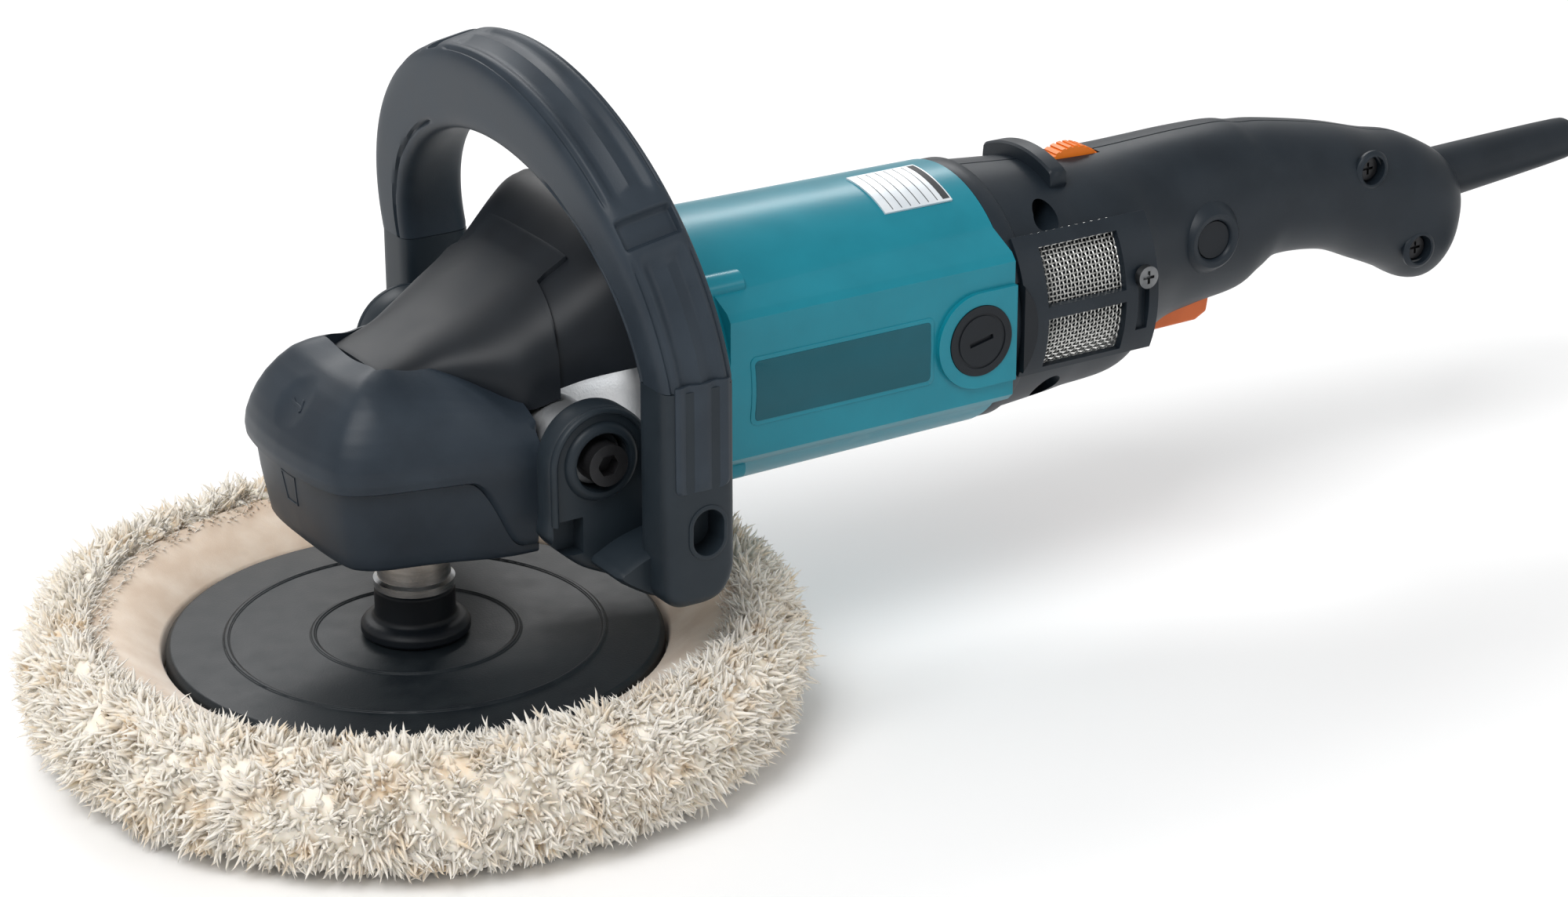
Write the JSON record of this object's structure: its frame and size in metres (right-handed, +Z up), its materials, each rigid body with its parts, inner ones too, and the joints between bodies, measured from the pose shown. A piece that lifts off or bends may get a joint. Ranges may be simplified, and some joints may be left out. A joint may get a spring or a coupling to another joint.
{
  "type": "rotary polisher",
  "caption": "Corded right-angle rotary polisher: teal motor housing, black rear handle with trigger and speed dial, loop handle over the neck, and a wool pad on a rubber disc.",
  "frame": {"origin": "on the floor under the middle of the machine's box, leaving out the free cord", "axes": "+X from the pad to the rear handle along the machine, +Z up along the spindle, +Y to the right of a person holding the rear handle and looking at the pad"},
  "size_m": [0.748, 0.2515, 0.2125],
  "materials": {
    "wool": "long fluffy pile",
    "hide": "raw suede",
    "disc_rubber": "matt, slightly mottled",
    "bright_steel": "machined",
    "black_plastic": "satin",
    "gear_steel": "ground teeth",
    "bearing_steel": "polished",
    "core_steel": "laminated",
    "copper_wire": "varnished wire",
    "copper_bars": "turned bars",
    "inner_plastic": "moulded",
    "cast_aluminium": "sand-smooth casting",
    "boot_rubber": "satin moulded",
    "loop_plastic": "fine grain",
    "grip_rubber": "satin, soft",
    "black_steel": "black oxide",
    "zinc_steel": "zinc plated",
    "spring_steel": "drawn wire",
    "teal_plastic": "moulded satin-gloss",
    "brass_sheet": "pressed sheet",
    "carbon": "pressed carbon",
    "plate_foil": "satin foil",
    "handle_plastic": "fine spark grain",
    "screen_steel": "woven wire",
    "dial_plastic": "moulded",
    "trigger_plastic": "moulded",
    "cord_rubber": "matt rubber"
  },
  "bodies": {
    "housing": {"bearing_outer_rings": "bearing_steel", "bearing_balls": "bearing_steel", "gear_housing": "cast_aluminium", "bearing_box": "cast_aluminium", "bearing_retainer": "cast_aluminium", "head_boot": "boot_rubber", "top_cover": "black_plastic", "loop_frame": "loop_plastic", "loop_grip": "grip_rubber", "loop_bolts": "black_steel", "loop_washers": "zinc_steel", "shaft_lock_spring": "spring_steel", "motor_housing": "teal_plastic", "housing_screws": "zinc_steel", "stator_core": "core_steel", "field_coils": "copper_wire", "fan_baffle": "inner_plastic", "brush_holders": "brass_sheet", "carbon_brushes": "carbon", "brush_springs": "spring_steel", "brush_caps": "black_plastic", "rating_plate": "plate_foil", "handle_left": "handle_plastic", "handle_right": "handle_plastic", "handle_screws": "black_steel", "dust_covers": "handle_plastic", "dust_screens": "screen_steel", "dust_cover_screws": "zinc_steel", "speed_controller": "inner_plastic", "switch_body": "inner_plastic", "trigger_pin": "bright_steel", "trigger_spring": "spring_steel", "lock_spring": "spring_steel", "cord_clamp": "inner_plastic", "cord_guard": "cord_rubber", "power_cord": "cord_rubber", "cord_coil": "cord_rubber", "plug": "cord_rubber"},
    "spindle_unit": {"wool_pad": "wool", "pad_hide": "hide", "backing_disc": "disc_rubber", "pad_lock_nut": "bright_steel", "pad_sleeve": "black_plastic", "spindle": "bright_steel", "bevel_gear": "gear_steel", "spindle_inner_rings": "bearing_steel"},
    "intermediate": {"intermediate_shaft": "bright_steel", "bevel_pinion": "gear_steel", "intermediate_gear": "gear_steel", "intermediate_inner_ring": "bearing_steel"},
    "armature": {"armature_shaft": "bright_steel", "armature_core": "core_steel", "armature_windings": "copper_wire", "commutator": "copper_bars", "cooling_fan": "inner_plastic", "armature_inner_rings": "bearing_steel"},
    "trigger": {"trigger": "trigger_plastic"},
    "lock_button": {"lock_button": "black_plastic"},
    "speed_dial": {"speed_dial": "dial_plastic"},
    "shaft_lock": {"shaft_lock_pin": "black_plastic"}
  },
  "joints": [
    {"name": "spindle_spin", "type": "hinge", "parent": "housing", "child": "spindle_unit", "pos_m": [-0.145, 0, 0.084], "axis": [0, 0, 1], "continuous": true},
    {"name": "intermediate_spin", "type": "hinge", "parent": "housing", "child": "intermediate", "pos_m": [-0.105, 0, 0.084], "axis": [1, 0, 0], "continuous": true},
    {"name": "armature_spin", "type": "hinge", "parent": "housing", "child": "armature", "pos_m": [-0.015, 0, 0.102], "axis": [1, 0, 0], "continuous": true},
    {"name": "trigger_pull", "type": "hinge", "parent": "housing", "child": "trigger", "pos_m": [0.113, 0, 0.09], "axis": [0, -1, 0], "range_deg": [0, 8], "stiffness_Nm_per_rad": 0.5, "springref_deg": -3.44, "deforming": ["trigger_spring"]},
    {"name": "lock_button_press", "type": "slide", "parent": "housing", "child": "lock_button", "axis": [0, 1, 0], "range_m": [0, 0.003], "stiffness_N_per_m": 700, "springref_m": -0.002, "deforming": ["lock_spring"]},
    {"name": "speed_dial_turn", "type": "hinge", "parent": "housing", "child": "speed_dial", "pos_m": [0.1005, 0, 0.129], "axis": [0, 1, 0], "range_deg": [-125, 125]},
    {"name": "shaft_lock_press", "type": "slide", "parent": "housing", "child": "shaft_lock", "axis": [0.5, -0.866, 0], "range_m": [0, 0.0032], "stiffness_N_per_m": 800, "springref_m": -0.002, "deforming": ["shaft_lock_spring"]}
  ],
  "couplings": [
    {"joint": "intermediate_spin", "follows": "spindle_spin", "ratio": -2.6667},
    {"joint": "armature_spin", "follows": "spindle_spin", "ratio": 9.3333}
  ]
}
